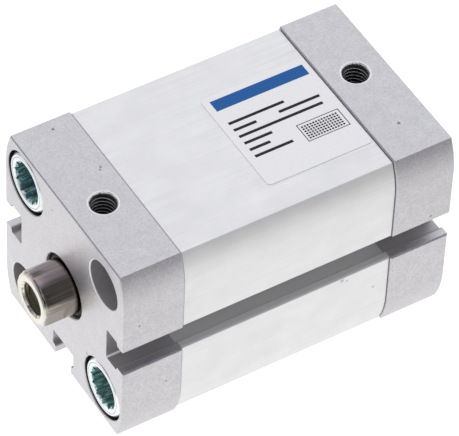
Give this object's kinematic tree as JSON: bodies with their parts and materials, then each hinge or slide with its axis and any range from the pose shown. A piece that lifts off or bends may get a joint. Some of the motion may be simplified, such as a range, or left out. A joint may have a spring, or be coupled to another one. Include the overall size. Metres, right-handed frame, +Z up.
{
  "type": "compact pneumatic cylinder",
  "caption": "Compact square air cylinder: extruded barrel between two caps, rod with female thread, air ports on top, sensor slots along the sides.",
  "frame": {"origin": "on the rod's axis, in the front cap's mounting face", "axes": "+X out along the rod, +Z up through the side with the air ports, +Y completes the frame"},
  "size_m": [0.0702, 0.0396, 0.0396],
  "materials": {
    "cap_aluminium": "matt, tumbled",
    "barrel_aluminium": "satin, anodised",
    "piston_aluminium": "turned",
    "rod_steel": "ground and polished",
    "screw_steel": "zinc plated",
    "nut_steel": "zinc plated",
    "bush_bronze": "sintered, oiled",
    "seal_rubber": "matt",
    "cushion_rubber": "matt",
    "guide_plastic": "moulded",
    "magnet_ferrite": "plastic-bonded magnet powder",
    "label_film": "film, bare"
  },
  "bodies": {
    "housing": {"barrel": "barrel_aluminium", "bearing_cap": "cap_aluminium", "end_cap": "cap_aluminium", "front_collar_screws": "screw_steel", "rear_collar_screws": "screw_steel", "rod_wiper": "seal_rubber", "rod_lip_seal": "seal_rubber", "rod_bearing_bush": "bush_bronze", "front_cap_o_ring": "seal_rubber", "rear_cap_o_ring": "seal_rubber", "front_cushion_ring": "cushion_rubber", "rear_cushion_ring": "cushion_rubber", "rating_label": "label_film"},
    "piston_seals": {"piston_seal_front": "seal_rubber", "piston_seal_rear": "seal_rubber", "piston_guide_ring": "guide_plastic"},
    "piston_and_rod": {"piston_rod": "rod_steel", "piston_front_half": "piston_aluminium", "piston_rear_half": "piston_aluminium", "piston_magnet": "magnet_ferrite", "piston_washer": "nut_steel", "piston_nut": "nut_steel", "piston_rod_o_ring": "seal_rubber"}
  },
  "joints": [
    {"name": "stroke", "type": "slide", "parent": "housing", "child": "piston_seals", "axis": [1, 0, 0], "range_m": [0, 0.025]},
    {"name": "rod_turn", "type": "hinge", "parent": "piston_seals", "child": "piston_and_rod", "pos_m": [0, 0, 0], "axis": [1, 0, 0], "continuous": true}
  ]
}
